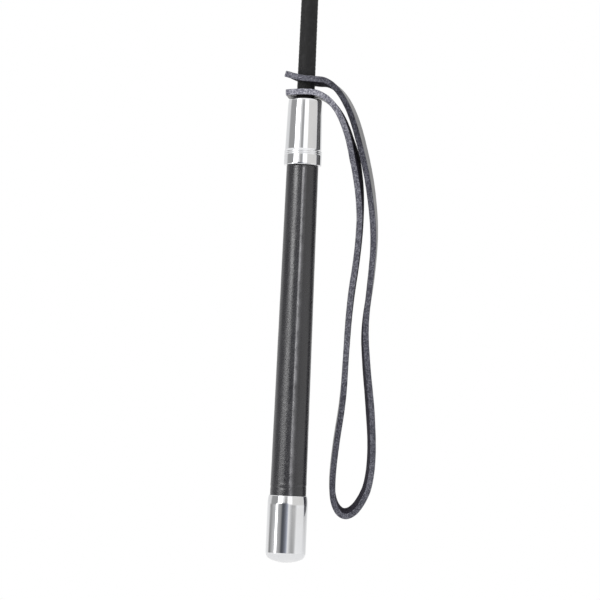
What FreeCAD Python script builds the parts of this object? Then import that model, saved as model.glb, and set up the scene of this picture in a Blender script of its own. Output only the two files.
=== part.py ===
import FreeCAD, Part
import math
import os

# Riding crop, in millimetres. It stands upright: +Z runs from the butt to the tip, and +X points at the
# wrist strap's loop. Heights below are measured from the butt end; the finished solids are moved down by
# HAND_HEIGHT, which puts the origin on the crop's axis at the middle of the leather grip.
HAND_HEIGHT = 111.0

# Tapered glass-fibre rod and its braided cover
ROD_BOTTOM = 7.0
ROD_TOP = 632.0
ROD_BUTT_R = 4.5
ROD_TIP_R = 1.4
COVER_BOTTOM = 205.0
COVER_WALL = 0.88

# Leather grip: a skin on a moulded former, skived thin and bound with thread where metal covers its ends
GRIP_BOTTOM = 32.0
GRIP_TOP = 190.8
GRIP_BOTTOM_R = 8.65
GRIP_TOP_R = 7.62
LEATHER_WALL = 1.2
BINDING_WALL = 0.6
LOWER_TUCK = 24.0
LOWER_TUCK_TOP = 30.5
UPPER_TUCK_TOP = 198.0
SEAM_AZIMUTH = 7.0
SEAM_ANGLE = 9.0
SEAM_RISE = 0.3

# Butt cap: a closed metal cup with a low dome
CAP_R = 9.6
CAP_RIM_R = 9.2
CAP_BORE_R = 8.7
CAP_TOP = 32.0
CAP_FLARE_BOTTOM = 27.5
CAP_BARREL_BOTTOM = 5.0
CAP_CORNER = (6.9, 1.3)
CAP_INNER_CORNER = (6.9, 3.1)
CAP_FLOOR = 1.5

# Ferrule: a tapered metal collar with a plain band and two beads at its lower end
FERRULE_BOTTOM = 190.3
FERRULE_TOP = 222.5
FERRULE_BAND_R = 9.0
FERRULE_BAND_TOP = 195.6
FERRULE_BEAD_R = 9.2
FERRULE_BEAD_PITCH = 0.95
FERRULE_LOW_R = 8.72
FERRULE_HIGH_R = 8.15
FERRULE_SHOULDER = 0.9
FERRULE_TOP_WALL = 1.5

# Wrist strap: one flat leather strip, both ends slit and threaded on the shaft above the ferrule
STRAP_WIDTH = 10.0
STRAP_WALL = 2.9
SLIT_HALF_LENGTH = 7.2
SLIT_HALF_WIDTH = 4.75
EYE_HALF_WIDTH = 8.25
EYE_HALF_LENGTH = 11.0
STRAP_CLEAR_X = 60.0

# The strip's centreline as (distance from the axis, height), from the upper slit end, down the outer
# strand, round the bottom and back up the inner strand to the lower slit end
STRAP_ROUTE = [
    (-9.4, 234.6),
    (-2.7, 232.3),
    (4.5, 231.6),
    (11.4, 231.2),
    (18.1, 225.6),
    (24.2, 214.4),
    (30.4, 193.7),
    (33.8, 178.4),
    (36.4, 158.3),
    (35.4, 136.0),
    (33.1, 114.4),
    (35.0, 94.8),
    (37.7, 75.6),
    (39.6, 54.4),
    (38.6, 39.2),
    (35.6, 31.2),
    (31.6, 25.5),
    (27.2, 23.7),
    (23.6, 26.4),
    (21.3, 32.2),
    (20.8, 41.7),
    (21.9, 57.7),
    (24.5, 78.8),
    (24.9, 99.9),
    (25.7, 126.0),
    (28.4, 149.1),
    (29.1, 170.3),
    (26.4, 190.4),
    (21.7, 206.4),
    (16.2, 218.2),
    (8.4, 225.1),
    (-0.4, 225.6),
    (-9.0, 224.7),
]
ARC_SHARE = 0.45

# Keeper: a folded leather tongue whose tails are whipped to the tip of the shaft
KEEPER_WALL = 1.55
TAIL_BOTTOM = 598.0
TAIL_SLEEVE_TOP = 629.0
TAIL_TOP = 639.8
TAIL_TOP_HALF_WIDTH = 9.5
WHIPPING_BOTTOM = 600.0
WHIPPING_TOP = 626.0
WHIPPING_WALL = 0.5
KEEPER_HINGE = 642.0
KEEPER_TOP = 700.0
KEEPER_HALF_WIDTH = 11.0
KEEPER_HALF_WALL = 1.7
KEEPER_CORNER = 4.0

AXIS = FreeCAD.Vector(0, 0, 1)
ORIGIN = FreeCAD.Vector(0, 0, 0)
FULL_TURN = 360.0


def along(height, low, low_value, high, high_value):
    """Value at a height on the straight line between two (height, value) pairs."""
    return low_value + (high_value - low_value) * (height - low) / (high - low)


def rod_r(height):
    return along(height, ROD_BOTTOM, ROD_BUTT_R, ROD_TOP, ROD_TIP_R)


def cover_r(height):
    return rod_r(height) + COVER_WALL


def grip_r(height):
    return along(height, GRIP_BOTTOM, GRIP_BOTTOM_R, GRIP_TOP, GRIP_TOP_R)


def grip_inner_r(height):
    return grip_r(height) - LEATHER_WALL


def point(r, height):
    """A point of a turned profile."""
    return FreeCAD.Vector(r, 0, height)


def profile(start, steps):
    """A closed face in the XZ plane: a step is (r, height), or a (mid, end) pair for an arc."""
    edges = []
    here = start
    for step in list(steps) + [start]:
        if isinstance(step[0], tuple):
            middle, end = step
            edges.append(Part.Arc(point(*here), point(*middle), point(*end)).toShape())
        else:
            end = step
            edges.append(Part.LineSegment(point(*here), point(*end)).toShape())
        here = end
    return Part.Face(Part.Wire(edges))


def turned(start, *steps):
    """A solid of revolution about the crop's axis."""
    return profile(start, steps).revolve(ORIGIN, AXIS, FULL_TURN)


def sleeve(bottom, top, inner, outer):
    """A tapered tube whose inner and outer radii are functions of the height."""
    return turned((inner(bottom), bottom), (outer(bottom), bottom), (outer(top), top), (inner(top), top))


def make_core_rod():
    return turned((0, ROD_BOTTOM), (rod_r(ROD_BOTTOM), ROD_BOTTOM), (rod_r(ROD_TOP), ROD_TOP), (0, ROD_TOP))


def make_shaft_cover():
    return sleeve(COVER_BOTTOM, ROD_TOP, rod_r, cover_r)


def make_grip_former():
    """Moulded core of the grip, with a spigot for the butt cap and one for the ferrule."""
    top = FERRULE_TOP - FERRULE_TOP_WALL
    return turned(
        (rod_r(ROD_BOTTOM), ROD_BOTTOM),
        (CAP_BORE_R, ROD_BOTTOM),
        (CAP_BORE_R, LOWER_TUCK),
        (grip_inner_r(LOWER_TUCK), LOWER_TUCK),
        (grip_inner_r(UPPER_TUCK_TOP), UPPER_TUCK_TOP),
        (GRIP_TOP_R, UPPER_TUCK_TOP),
        (GRIP_TOP_R, top),
        (cover_r(top), top),
        (cover_r(COVER_BOTTOM), COVER_BOTTOM),
        (rod_r(COVER_BOTTOM), COVER_BOTTOM),
    )


def make_grip_leather():
    """Leather skin with a lapped seam along its front; both ends are skived to take a binding."""
    low_r = CAP_BORE_R - BINDING_WALL
    high_r = GRIP_TOP_R - BINDING_WALL
    skin = turned(
        (grip_inner_r(LOWER_TUCK), LOWER_TUCK),
        (low_r, LOWER_TUCK),
        (low_r, LOWER_TUCK_TOP),
        (grip_r(LOWER_TUCK_TOP), LOWER_TUCK_TOP),
        (GRIP_TOP_R, GRIP_TOP),
        (high_r, GRIP_TOP),
        (high_r, UPPER_TUCK_TOP),
        (grip_inner_r(UPPER_TUCK_TOP), UPPER_TUCK_TOP),
    )
    bottom = CAP_TOP
    top = FERRULE_BOTTOM
    lap = profile(
        (grip_inner_r(bottom), bottom),
        [
            (grip_r(bottom) + SEAM_RISE, bottom),
            (grip_r(top) + SEAM_RISE, top),
            (grip_inner_r(top), top),
        ],
    ).revolve(ORIGIN, AXIS, SEAM_ANGLE)
    lap.rotate(ORIGIN, AXIS, SEAM_AZIMUTH - SEAM_ANGLE / 2 - 90.0)
    return skin.fuse(lap).removeSplitter()


def make_binding(bottom, top, outer):
    """A band of close thread turns that locks one end of the leather."""
    return turned((outer - BINDING_WALL, bottom), (outer, bottom), (outer, top), (outer - BINDING_WALL, top))


def make_butt_cap():
    corner_r, corner_height = CAP_CORNER
    return turned(
        (0, 0),
        ((corner_r * 0.54, corner_height * 0.28), CAP_CORNER),
        ((CAP_R * 0.922, CAP_BARREL_BOTTOM * 0.542), (CAP_R, CAP_BARREL_BOTTOM)),
        (CAP_R, CAP_FLARE_BOTTOM),
        ((CAP_R - 0.13, along(0.52, 0, CAP_FLARE_BOTTOM, 1, CAP_TOP)), (CAP_RIM_R, CAP_TOP - 0.25)),
        (CAP_RIM_R - 0.25, CAP_TOP),
        (CAP_BORE_R, CAP_TOP),
        (CAP_BORE_R, CAP_BARREL_BOTTOM + 1.0),
        CAP_INNER_CORNER,
        (0, CAP_FLOOR),
    )


def make_ferrule():
    bead_low = FERRULE_BAND_TOP
    bead_mid = bead_low + FERRULE_BEAD_PITCH
    bead_high = bead_mid + FERRULE_BEAD_PITCH
    half = FERRULE_BEAD_PITCH / 2
    valley = FERRULE_BAND_R - 0.15
    cavity_top = FERRULE_TOP - FERRULE_TOP_WALL
    shoulder_r = FERRULE_HIGH_R - FERRULE_SHOULDER
    shoulder_low = FERRULE_TOP - FERRULE_SHOULDER
    diagonal = FERRULE_SHOULDER * math.sqrt(0.5)
    return turned(
        (GRIP_TOP_R, FERRULE_BOTTOM),
        (FERRULE_BAND_R - 0.3, FERRULE_BOTTOM),
        (FERRULE_BAND_R, FERRULE_BOTTOM + 0.3),
        (FERRULE_BAND_R, bead_low - 0.3),
        (valley, bead_low),
        ((FERRULE_BEAD_R, bead_low + half), (valley, bead_mid)),
        ((FERRULE_BEAD_R, bead_mid + half), (FERRULE_LOW_R, bead_high)),
        (FERRULE_HIGH_R, shoulder_low),
        ((shoulder_r + diagonal, shoulder_low + diagonal), (shoulder_r, FERRULE_TOP)),
        (cover_r(FERRULE_TOP), FERRULE_TOP),
        (cover_r(cavity_top), cavity_top),
        (GRIP_TOP_R, cavity_top),
    )


def route_corner(before, here, after):
    """Tangent arc at one point of the route: (start, middle, end, radius, centre)."""
    back = before - here
    ahead = after - here
    shorter = min(back.Length, ahead.Length)
    turn = math.pi - back.getAngle(ahead)
    cut = ARC_SHARE * shorter
    radius = cut / math.tan(turn / 2)
    back.normalize()
    ahead.normalize()
    inward = back + ahead
    inward.normalize()
    centre = here + inward * (radius / math.cos(turn / 2))
    return here + back * cut, centre - inward * radius, here + ahead * cut, radius, centre


def offset_edges(start, corners, end, shift):
    """The route's runs and arcs, moved sideways by shift; positive is to the left of travel."""
    def aside(a, b):
        direction = b - a
        direction.normalize()
        return FreeCAD.Vector(-direction.z, 0, direction.x) * shift

    edges = []
    here = start
    for arc_start, middle, arc_end, radius, centre in corners:
        side = aside(here, arc_start)
        edges.append(Part.LineSegment(here + side, arc_start + side).toShape())
        moved = []
        for place in (arc_start, middle, arc_end):
            spoke = place - centre
            spoke.normalize()
            outward = 1 if spoke.dot(side) > 0 else -1
            moved.append(centre + spoke * (radius + outward * abs(shift)))
        edges.append(Part.Arc(*moved).toShape())
        here = arc_end
    side = aside(here, end)
    edges.append(Part.LineSegment(here + side, end + side).toShape())
    return edges


def ribbon(route, half_wall, half_width):
    """A strip whose centreline is the route's runs joined by tangent arcs; also gives its length."""
    places = [point(*place) for place in route]
    corners = [route_corner(*places[i - 1:i + 2]) for i in range(1, len(places) - 1)]
    left = offset_edges(places[0], corners, places[-1], half_wall)
    right = offset_edges(places[0], corners, places[-1], -half_wall)
    ends = [
        Part.LineSegment(left[-1].Vertexes[-1].Point, right[-1].Vertexes[-1].Point).toShape(),
        Part.LineSegment(left[0].Vertexes[0].Point, right[0].Vertexes[0].Point).toShape(),
    ]
    outline = Part.Wire(Part.__sortEdges__(left + right + ends))
    face = Part.Face(outline)
    face.translate(FreeCAD.Vector(0, -half_width, 0))
    centre_edges = offset_edges(places[0], corners, places[-1], 0.0)
    length = sum(edge.Length for edge in centre_edges)
    return face.extrude(FreeCAD.Vector(0, 2 * half_width, 0)), length, [corner[3] for corner in corners]


def make_wrist_strap():
    """The strip is cut in plan: plain sides along the loop, swelling to an eye round the shaft."""
    wide, length, radii = ribbon(STRAP_ROUTE, STRAP_WALL / 2, EYE_HALF_WIDTH + 1.0)
    half = STRAP_WIDTH / 2
    low = min(height for _, height in STRAP_ROUTE) - STRAP_WIDTH
    high = max(height for _, height in STRAP_ROUTE) + STRAP_WIDTH

    def flat(x, y):
        return FreeCAD.Vector(x, y, low)

    eye = EYE_HALF_LENGTH
    plan = Part.Wire([
        Part.Arc(flat(-eye, -half), flat(0, -EYE_HALF_WIDTH), flat(eye, -half)).toShape(),
        Part.LineSegment(flat(eye, -half), flat(STRAP_CLEAR_X, -half)).toShape(),
        Part.LineSegment(flat(STRAP_CLEAR_X, -half), flat(STRAP_CLEAR_X, half)).toShape(),
        Part.LineSegment(flat(STRAP_CLEAR_X, half), flat(eye, half)).toShape(),
        Part.Arc(flat(eye, half), flat(0, EYE_HALF_WIDTH), flat(-eye, half)).toShape(),
        Part.LineSegment(flat(-eye, half), flat(-eye, -half)).toShape(),
    ])
    slit = Part.Wire([
        Part.Arc(flat(-SLIT_HALF_LENGTH, 0), flat(0, -SLIT_HALF_WIDTH), flat(SLIT_HALF_LENGTH, 0)).toShape(),
        Part.Arc(flat(SLIT_HALF_LENGTH, 0), flat(0, SLIT_HALF_WIDTH), flat(-SLIT_HALF_LENGTH, 0)).toShape(),
    ])
    rise = FreeCAD.Vector(0, 0, high - low)
    strap = wide.common(Part.Face(plan).extrude(rise)).cut(Part.Face(slit).extrude(rise))
    plain = length * STRAP_WIDTH * STRAP_WALL
    print("wrist strap: length %.1f, volume %.0f, section x length %.0f" % (length, strap.Volume, plain))
    print("wrist strap radii:", " ".join("%.0f" % radius for radius in radii))
    return strap


def make_keeper_tails():
    """The keeper's two tails, gathered round the tip and spreading flat above it."""
    def outer(height):
        return cover_r(height) + KEEPER_WALL

    gathered = turned(
        (0, TAIL_BOTTOM), (outer(TAIL_BOTTOM), TAIL_BOTTOM), (outer(TAIL_SLEEVE_TOP), TAIL_SLEEVE_TOP),
        (0, TAIL_SLEEVE_TOP),
    )
    low = Part.Circle(point(0, TAIL_SLEEVE_TOP), AXIS, outer(TAIL_SLEEVE_TOP)).toShape()
    high = Part.Ellipse(point(0, TAIL_TOP), TAIL_TOP_HALF_WIDTH, KEEPER_HALF_WALL).toShape()
    spread = Part.makeLoft([Part.Wire([low]), Part.Wire([high])], True)
    shaft = turned((0, 0), (cover_r(0), 0), (cover_r(ROD_TOP), ROD_TOP), (0, ROD_TOP))
    return gathered.fuse(spread).cut(shaft)


def make_tip_whipping():
    def inner(height):
        return cover_r(height) + KEEPER_WALL

    def outer(height):
        return inner(height) + WHIPPING_WALL

    return sleeve(WHIPPING_BOTTOM, WHIPPING_TOP, inner, outer)


def make_keeper_tongue():
    """The folded flap, full-round at the fold and at the edge where it flexes."""
    low = KEEPER_HINGE
    high = KEEPER_TOP - KEEPER_HALF_WALL
    wall = KEEPER_HALF_WALL

    def side(y, height):
        return FreeCAD.Vector(-KEEPER_HALF_WIDTH, y, height)

    outline = Part.Wire([
        Part.LineSegment(side(-wall, low), side(-wall, high)).toShape(),
        Part.Arc(side(-wall, high), side(0, high + wall), side(wall, high)).toShape(),
        Part.LineSegment(side(wall, high), side(wall, low)).toShape(),
        Part.Arc(side(wall, low), side(0, low - wall), side(-wall, low)).toShape(),
    ])
    return Part.Face(outline).extrude(FreeCAD.Vector(2 * KEEPER_HALF_WIDTH, 0, 0))


def export(name, shape):
    shape.translate(FreeCAD.Vector(0, 0, -HAND_HEIGHT))
    shape.exportStep("parts/%s.step" % name)
    print("%-22s solids %d valid %s volume %9.1f" % (name, len(shape.Solids), shape.isValid(), shape.Volume))


def main():
    os.makedirs("parts", exist_ok=True)
    export("core_rod", make_core_rod())
    export("shaft_cover", make_shaft_cover())
    export("grip_former", make_grip_former())
    export("grip_leather", make_grip_leather())
    export("lower_grip_binding", make_binding(LOWER_TUCK, LOWER_TUCK_TOP, CAP_BORE_R))
    export("upper_grip_binding", make_binding(GRIP_TOP, UPPER_TUCK_TOP, GRIP_TOP_R))
    export("butt_cap", make_butt_cap())
    export("ferrule", make_ferrule())
    export("wrist_strap", make_wrist_strap())
    export("keeper_tails", make_keeper_tails())
    export("tip_whipping", make_tip_whipping())
    export("keeper_tongue", make_keeper_tongue())


main()
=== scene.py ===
import math
import random

import bmesh
import bpy
from mathutils import Matrix, Vector, noise


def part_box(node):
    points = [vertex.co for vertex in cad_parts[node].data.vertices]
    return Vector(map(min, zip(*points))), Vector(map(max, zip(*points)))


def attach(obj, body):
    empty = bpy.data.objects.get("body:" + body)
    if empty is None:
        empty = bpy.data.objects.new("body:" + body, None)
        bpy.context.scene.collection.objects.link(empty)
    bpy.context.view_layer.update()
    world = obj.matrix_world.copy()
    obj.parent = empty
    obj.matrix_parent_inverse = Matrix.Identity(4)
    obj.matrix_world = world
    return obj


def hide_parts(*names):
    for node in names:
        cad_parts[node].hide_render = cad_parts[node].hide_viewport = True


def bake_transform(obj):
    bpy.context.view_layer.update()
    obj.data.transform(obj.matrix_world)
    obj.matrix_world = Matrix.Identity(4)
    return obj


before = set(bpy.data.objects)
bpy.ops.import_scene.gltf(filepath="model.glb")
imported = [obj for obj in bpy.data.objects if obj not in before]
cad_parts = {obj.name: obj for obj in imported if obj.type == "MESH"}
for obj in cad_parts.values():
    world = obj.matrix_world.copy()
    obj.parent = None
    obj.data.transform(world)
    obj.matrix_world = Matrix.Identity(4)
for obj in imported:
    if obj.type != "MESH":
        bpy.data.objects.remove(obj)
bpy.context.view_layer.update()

# A riding crop, butt down. Heights are measured up from the butt end of the cap. The camera, the floor and
# the wrist strap are in metres; AIM_HEIGHT and the turned and stitched pieces are in millimetres.
MM = 0.001
RANDOM = random.Random(11)
BUTT_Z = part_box("butt_cap")[0][2]


def level(height_mm):
    """World height of a point that many millimetres above the butt end."""
    return BUTT_Z + height_mm * MM


# ---------------------------------------------------------------------------------------------
# Camera and surroundings
# ---------------------------------------------------------------------------------------------
CAMERA_AZIMUTH = 0.0
CAMERA_RISE = math.radians(3.1)
CAMERA_ROLL = math.radians(2.52)
CAMERA_DISTANCE = 1.18
CAMERA_LENS = 147.5
AIM_RIGHT = 0.0016
AIM_HEIGHT = 125.7
TO_CAMERA = Vector((math.sin(CAMERA_AZIMUTH), -math.cos(CAMERA_AZIMUTH), 0.0))
CAMERA_RIGHT = Vector((math.cos(CAMERA_AZIMUTH), math.sin(CAMERA_AZIMUTH), 0.0))
FLOOR_DROP = 0.16
FLOOR_RADIUS = 1.1
FLOOR_AROUND = 96


def make_camera():
    """Looks slightly up at the handle, and leans with the crop."""
    data = bpy.data.cameras.new("view")
    data.lens = CAMERA_LENS
    data.sensor_width = 36.0
    data.clip_end = 50.0
    camera = bpy.data.objects.new("view", data)
    bpy.context.collection.objects.link(camera)
    aim = CAMERA_RIGHT * AIM_RIGHT + Vector((0, 0, level(AIM_HEIGHT)))
    back = TO_CAMERA * math.cos(CAMERA_RISE) - Vector((0, 0, math.sin(CAMERA_RISE)))
    turn = back.to_track_quat("Z", "Y") @ Matrix.Rotation(CAMERA_ROLL, 3, "Z").to_quaternion()
    camera.location = aim + back * CAMERA_DISTANCE
    camera.rotation_mode = "QUATERNION"
    camera.rotation_quaternion = turn
    bpy.context.scene.camera = camera


# The studio round the crop: (degrees to the right of the camera, brightness), at two elevations
STUDIO_HIGH = [
    (-180, 0.80), (-116, 0.74), (-104, 0.34), (-66, 0.32), (-58, 0.50), (-53, 6.5), (-35, 6.5),
    (-30, 0.84), (-20, 0.74), (-15, 0.38), (-4, 0.36), (2, 1.3), (21, 1.3), (29, 0.70), (95, 0.68),
    (106, 0.66), (109, 0.04), (133, 0.04), (139, 0.74), (180, 0.82),
]
STUDIO_LOW = [
    (-180, 0.92), (-150, 0.84), (-125, 0.78), (-116, 0.30), (-108, 0.20), (-100, 0.33), (-90, 0.45),
    (-78, 0.60), (-70, 0.75), (-67.5, 4.2), (-60.5, 4.2), (-57, 0.62), (-50, 0.42), (-40, 0.34), (-34, 0.24),
    (-29, 0.09), (-20, 0.09), (-12, 0.16), (-4, 0.28), (2, 0.45), (7, 0.85), (12, 0.75), (20, 0.52),
    (31, 0.36), (42, 0.40), (50, 0.62), (56, 0.9), (100, 0.86), (140, 0.72), (180, 0.92),
]
# Flats that are a little warm or cool, as (from, to) in degrees
WARM_FLAT = (25, 100)
COOL_FLAT = (-32, 6)
WARM_TINT = (1.0, 0.99, 0.965)
COOL_TINT = (0.92, 0.97, 1.12)
STUDIO_LOW_RISE = 0.05
STUDIO_HIGH_RISE = 0.11
STUDIO_PEAK = 6.5
# Above and below, one even light: its brightness, and how steep a direction is where it starts and fills
STEEP_LIGHT = 0.98
STEEP_START = 0.25
STEEP_FULL = 0.55
# The join of the two rings dips on both sides of one direction, in radians to the left of the camera
DIP_CENTRE = 0.35
DIP_RATE = 0.12
DIP_MOST = 0.1


def make_world():
    """Plain white to the camera; softboxes and grey flats to everything else."""
    world = bpy.data.worlds.new("studio")
    world.use_nodes = True
    bpy.context.scene.world = world
    tree = world.node_tree
    tree.nodes.clear()
    where = tree.nodes.new("ShaderNodeTexCoord")
    split = tree.nodes.new("ShaderNodeSeparateXYZ")

    def maths(operation, *values):
        node = tree.nodes.new("ShaderNodeMath")
        node.operation = operation
        for socket, value in zip(node.inputs, values):
            if isinstance(value, (int, float)):
                socket.default_value = value
            else:
                tree.links.new(value, socket)
        return node.outputs[0]

    tree.links.new(where.outputs["Generated"], split.inputs[0])
    x, y, z = split.outputs
    ahead = maths("ADD", maths("MULTIPLY", x, TO_CAMERA.x), maths("MULTIPLY", y, TO_CAMERA.y))
    aside = maths("ADD", maths("MULTIPLY", x, CAMERA_RIGHT.x), maths("MULTIPLY", y, CAMERA_RIGHT.y))
    turn = maths("ARCTAN2", aside, ahead)
    share = maths("MULTIPLY_ADD", turn, 0.5 / math.pi, 0.5)

    def ring(stops, flat, shade):
        """Brightness round the horizon; the directions of one flat take its shade."""
        ramp = tree.nodes.new("ShaderNodeValToRGB")
        elements = ramp.color_ramp.elements
        while len(elements) < len(stops):
            elements.new(0.5)
        for element, (degrees, bright) in zip(elements, stops):
            tint = shade if flat[0] <= degrees <= flat[1] else (1.0, 1.0, 1.0)
            element.position = 0.5 + degrees / 360.0
            element.color = (*(bright / STUDIO_PEAK * channel for channel in tint), 1.0)
        tree.links.new(share, ramp.inputs[0])
        return ramp.outputs[0]

    rise = tree.nodes.new("ShaderNodeMapRange")
    rise.inputs["From Min"].default_value = STUDIO_LOW_RISE
    rise.inputs["From Max"].default_value = STUDIO_HIGH_RISE
    dip = maths("MULTIPLY", maths("POWER", maths("ADD", turn, DIP_CENTRE), 2.0), DIP_RATE)
    tree.links.new(maths("ADD", z, maths("MINIMUM", dip, DIP_MOST)), rise.inputs["Value"])
    sides = tree.nodes.new("ShaderNodeMix")
    sides.data_type = "RGBA"
    tree.links.new(rise.outputs[0], sides.inputs["Factor"])
    tree.links.new(ring(STUDIO_LOW, COOL_FLAT, COOL_TINT), sides.inputs["A"])
    tree.links.new(ring(STUDIO_HIGH, WARM_FLAT, WARM_TINT), sides.inputs["B"])
    steep = tree.nodes.new("ShaderNodeMapRange")
    steep.inputs["From Min"].default_value = STEEP_START
    steep.inputs["From Max"].default_value = STEEP_FULL
    tree.links.new(maths("ABSOLUTE", z), steep.inputs["Value"])
    whole = tree.nodes.new("ShaderNodeMix")
    whole.data_type = "RGBA"
    tree.links.new(steep.outputs[0], whole.inputs["Factor"])
    tree.links.new(sides.outputs["Result"], whole.inputs["A"])
    whole.inputs["B"].default_value = (*[STEEP_LIGHT / STUDIO_PEAK] * 3, 1.0)

    studio = tree.nodes.new("ShaderNodeBackground")
    studio.inputs["Strength"].default_value = STUDIO_PEAK
    tree.links.new(whole.outputs["Result"], studio.inputs["Color"])
    plain = tree.nodes.new("ShaderNodeBackground")
    plain.inputs["Color"].default_value = (1.0, 1.0, 1.0, 1.0)
    rays = tree.nodes.new("ShaderNodeLightPath")
    choose = tree.nodes.new("ShaderNodeMixShader")
    out = tree.nodes.new("ShaderNodeOutputWorld")
    tree.links.new(rays.outputs["Is Camera Ray"], choose.inputs[0])
    tree.links.new(studio.outputs[0], choose.inputs[1])
    tree.links.new(plain.outputs[0], choose.inputs[2])
    tree.links.new(choose.outputs[0], out.inputs[0])


# ---------------------------------------------------------------------------------------------
# Node and mesh helpers
# ---------------------------------------------------------------------------------------------
class Look:
    """A principled material with small helpers for its procedural detail."""

    def __init__(self, name, colour, roughness, metallic=0.0, specular=0.5):
        self.material = bpy.data.materials.new(name)
        self.material.use_nodes = True
        self.tree = self.material.node_tree
        self.shader = self.tree.nodes["Principled BSDF"]
        self.set("Base Color", (*colour, 1.0))
        self.set("Roughness", roughness)
        self.set("Metallic", metallic)
        self.set("Specular IOR Level", specular)
        self.normal = None
        coordinates = self.tree.nodes.new("ShaderNodeTexCoord")
        self.place = coordinates.outputs["Object"]

    def set(self, socket, value):
        self.shader.inputs[socket].default_value = value

    def link(self, source, target):
        self.tree.links.new(source, target)

    def stretched(self, scale):
        """Object coordinates multiplied by a vector."""
        node = self.tree.nodes.new("ShaderNodeMapping")
        node.inputs["Scale"].default_value = scale
        self.link(self.place, node.inputs["Vector"])
        return node.outputs[0]

    def noise(self, scale, detail=3.0, vector=None, roughness=0.5):
        node = self.tree.nodes.new("ShaderNodeTexNoise")
        node.inputs["Scale"].default_value = scale
        node.inputs["Detail"].default_value = detail
        node.inputs["Roughness"].default_value = roughness
        self.link(vector or self.place, node.inputs["Vector"])
        return node.outputs["Fac"]

    def creases(self, scale):
        """Distance to the nearest crease between cells."""
        node = self.tree.nodes.new("ShaderNodeTexVoronoi")
        node.feature = "DISTANCE_TO_EDGE"
        node.inputs["Scale"].default_value = scale
        self.link(self.place, node.inputs["Vector"])
        return node.outputs["Distance"]

    def ramp(self, source, *stops):
        """Colours or greys along a 0..1 value: stops are (position, colour or grey)."""
        node = self.tree.nodes.new("ShaderNodeValToRGB")
        elements = node.color_ramp.elements
        while len(elements) < len(stops):
            elements.new(0.5)
        for element, (position, colour) in zip(elements, stops):
            element.position = position
            element.color = (*colour, 1.0) if isinstance(colour, tuple) else (colour, colour, colour, 1.0)
        self.link(source, node.inputs[0])
        return node.outputs[0]

    def maths(self, operation, *values):
        node = self.tree.nodes.new("ShaderNodeMath")
        node.operation = operation
        for socket, value in zip(node.inputs, values):
            if isinstance(value, (int, float)):
                socket.default_value = value
            else:
                self.link(value, socket)
        return node.outputs[0]

    def mix(self, factor, first, second):
        node = self.tree.nodes.new("ShaderNodeMix")
        node.data_type = "RGBA"
        for socket, value in (("Factor", factor), ("A", first), ("B", second)):
            if isinstance(value, tuple):
                node.inputs[socket].default_value = (*value, 1.0)
            elif isinstance(value, (int, float)):
                node.inputs[socket].default_value = value
            else:
                self.link(value, node.inputs[socket])
        return node.outputs["Result"]

    def attribute(self, name):
        node = self.tree.nodes.new("ShaderNodeAttribute")
        node.attribute_name = name
        return node.outputs["Fac"]

    def bump(self, height, strength, distance):
        node = self.tree.nodes.new("ShaderNodeBump")
        node.inputs["Strength"].default_value = strength
        node.inputs["Distance"].default_value = distance
        self.link(height, node.inputs["Height"])
        if self.normal is not None:
            self.link(self.normal, node.inputs["Normal"])
        self.normal = node.outputs["Normal"]
        self.link(self.normal, self.shader.inputs["Normal"])

    def drive(self, source, socket):
        self.link(source, self.shader.inputs[socket])


def add_mesh(name, points, faces, materials, smooth=True):
    mesh = bpy.data.meshes.new(name)
    mesh.from_pydata(points, [], faces)
    for material in materials:
        mesh.materials.append(material)
    mesh.polygons.foreach_set("use_smooth", [smooth] * len(mesh.polygons))
    mesh.update()
    thing = bpy.data.objects.new(name, mesh)
    bpy.context.collection.objects.link(thing)
    return thing


WELD = 1e-7
EASED_ANGLE = math.radians(50)


def clean(thing):
    """Joins doubled points and turns every face outwards."""
    work = bmesh.new()
    work.from_mesh(thing.data)
    bmesh.ops.remove_doubles(work, verts=work.verts, dist=WELD)
    bmesh.ops.dissolve_degenerate(work, edges=work.edges, dist=WELD)
    bmesh.ops.recalc_face_normals(work, faces=work.faces)
    work.to_mesh(thing.data)
    work.free()


def thicken(thing, thickness):
    """Gives a sheet its thickness, half of it on each side."""
    modifier = thing.modifiers.new("thickness", "SOLIDIFY")
    modifier.thickness = thickness
    modifier.offset = 0.0
    return modifier


def ease_edges(thing, width, segments):
    """Rounds the sharp edges."""
    modifier = thing.modifiers.new("eased_edges", "BEVEL")
    modifier.width = width
    modifier.segments = segments
    modifier.limit_method = "ANGLE"
    modifier.angle_limit = EASED_ANGLE


def bake(thing):
    """Replaces an object's mesh by what its modifiers make of it."""
    shaped = bpy.data.meshes.new_from_object(thing.evaluated_get(bpy.context.evaluated_depsgraph_get()))
    thing.modifiers.clear()
    thing.data = shaped


def push_out(mesh, amount):
    """Moves each point along its normal by amount(place, index), in metres."""
    places = [vertex.co.copy() for vertex in mesh.vertices]
    normals = [vertex.normal.copy() for vertex in mesh.vertices]
    moved = []
    for index, (place, normal) in enumerate(zip(places, normals)):
        moved.extend(place + normal * amount(place, index))
    mesh.vertices.foreach_set("co", moved)
    mesh.update()


def arc(start, middle, end, steps):
    """Points of the circle through three (r, height) points, without the first."""
    (ax, ay), (bx, by), (cx, cy) = start, middle, end
    scale = 2 * (ax * (by - cy) + bx * (cy - ay) + cx * (ay - by))
    a2, b2, c2 = ax * ax + ay * ay, bx * bx + by * by, cx * cx + cy * cy
    ox = (a2 * (by - cy) + b2 * (cy - ay) + c2 * (ay - by)) / scale
    oy = (a2 * (cx - bx) + b2 * (ax - cx) + c2 * (bx - ax)) / scale
    radius = math.hypot(ax - ox, ay - oy)
    first = math.atan2(ay - oy, ax - ox)
    swing = (math.atan2(cy - oy, cx - ox) - first + math.pi) % (2 * math.pi) - math.pi
    return [
        (ox + radius * math.cos(first + swing * i / steps), oy + radius * math.sin(first + swing * i / steps))
        for i in range(1, steps + 1)
    ]


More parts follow.
